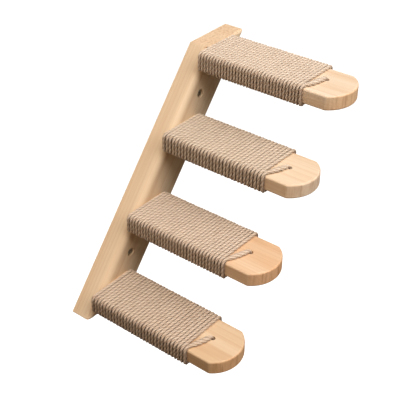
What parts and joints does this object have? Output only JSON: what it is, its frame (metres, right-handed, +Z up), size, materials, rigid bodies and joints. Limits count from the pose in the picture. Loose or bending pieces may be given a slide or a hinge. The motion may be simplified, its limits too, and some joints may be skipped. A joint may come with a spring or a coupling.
{
  "type": "cat wall shelf",
  "caption": "Wall-mounted cat steps: flat rope-bound wooden treads with arched noses, one above the other on a board that leans up the wall.",
  "frame": {"origin": "on the wall plane (the back of the board), midway between the axes of the two wall screws", "axes": "+Z up, +X to the right along the wall, +Y into the wall; the treads stand out towards -Y"},
  "size_m": [0.3409, 0.265, 0.3071],
  "materials": {
    "board_wood": "planed and sanded, clear matt oil",
    "tread_wood": "planed and sanded, clear matt oil",
    "jute_rope": "twisted natural jute, matt",
    "zinc_screw": "zinc-plated",
    "wall_screw_steel": "zinc-plated"
  },
  "bodies": {
    "root": {"back_board": "board_wood", "tread_1": "tread_wood", "tread_2": "tread_wood", "tread_3": "tread_wood", "tread_4": "tread_wood", "rope_wrap_1": "jute_rope", "rope_wrap_2": "jute_rope", "rope_wrap_3": "jute_rope", "rope_wrap_4": "jute_rope", "tread_screw_1_left": "zinc_screw", "tread_screw_1_right": "zinc_screw", "tread_screw_2_left": "zinc_screw", "tread_screw_2_right": "zinc_screw", "tread_screw_3_left": "zinc_screw", "tread_screw_3_right": "zinc_screw", "tread_screw_4_left": "zinc_screw", "tread_screw_4_right": "zinc_screw", "wall_screw_upper": "wall_screw_steel", "wall_screw_lower": "wall_screw_steel"}
  },
  "joints": []
}
